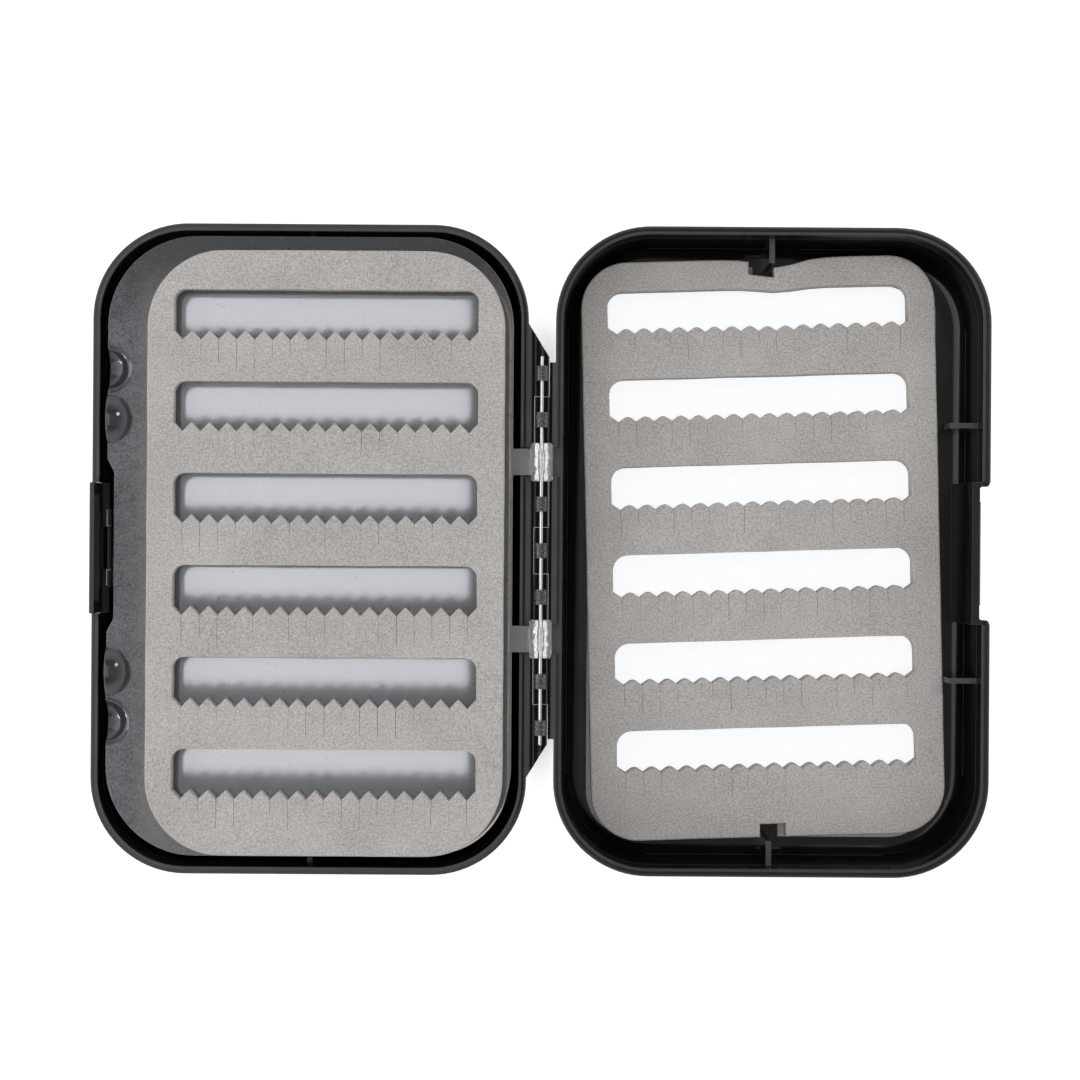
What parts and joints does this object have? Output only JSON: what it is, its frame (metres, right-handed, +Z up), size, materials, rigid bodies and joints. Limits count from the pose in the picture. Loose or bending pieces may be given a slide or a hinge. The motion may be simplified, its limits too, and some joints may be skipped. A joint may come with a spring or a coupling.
{
  "type": "fly box",
  "caption": "Slim hinged fly box with clear windows, a frosted swing leaf on the same hinge pin, foam pads with toothed slots and a pivoting front latch.",
  "frame": {"origin": "under the middle of the hinge pin, on the plane that the open box lies on", "axes": "+X from the hinge towards the lid, +Y along the hinge pin, +Z up out of the open trays"},
  "size_m": [0.2072, 0.15, 0.0225],
  "materials": {
    "black_plastic": "fine moulded satin",
    "clear_window": "clear polished",
    "frosted_leaf": "frosted, polished knuckles and domes",
    "grey_foam": "closed-cell foam, skived face",
    "adhesive_film": "clear adhesive film",
    "steel_wire": "drawn stainless wire"
  },
  "bodies": {
    "base": {"base_shell": "black_plastic", "base_window": "clear_window", "base_pad": "grey_foam", "base_pad_tape": "adhesive_film", "hinge_pin": "steel_wire", "latch_pin": "steel_wire"},
    "lid": {"lid_shell": "black_plastic", "lid_window": "clear_window", "lid_pad": "grey_foam", "lid_pad_tape": "adhesive_film"},
    "leaf": {"swing_leaf": "frosted_leaf", "leaf_front_pad": "grey_foam", "leaf_front_tape": "adhesive_film", "leaf_back_pad": "grey_foam", "leaf_back_tape": "adhesive_film"},
    "latch": {"latch_tab": "black_plastic"}
  },
  "joints": [
    {"name": "lid_hinge", "type": "hinge", "parent": "base", "child": "lid", "pos_m": [0, 0, 0.0181], "axis": [0, -1, 0], "range_deg": [0, 180]},
    {"name": "leaf_hinge", "type": "hinge", "parent": "base", "child": "leaf", "pos_m": [0, 0, 0.0181], "axis": [0, 1, 0], "range_deg": [0, 180]},
    {"name": "latch_pivot", "type": "hinge", "parent": "base", "child": "latch", "pos_m": [-0.1007, 0, 0.013], "axis": [0, -1, 0], "range_deg": [0, 60]}
  ]
}
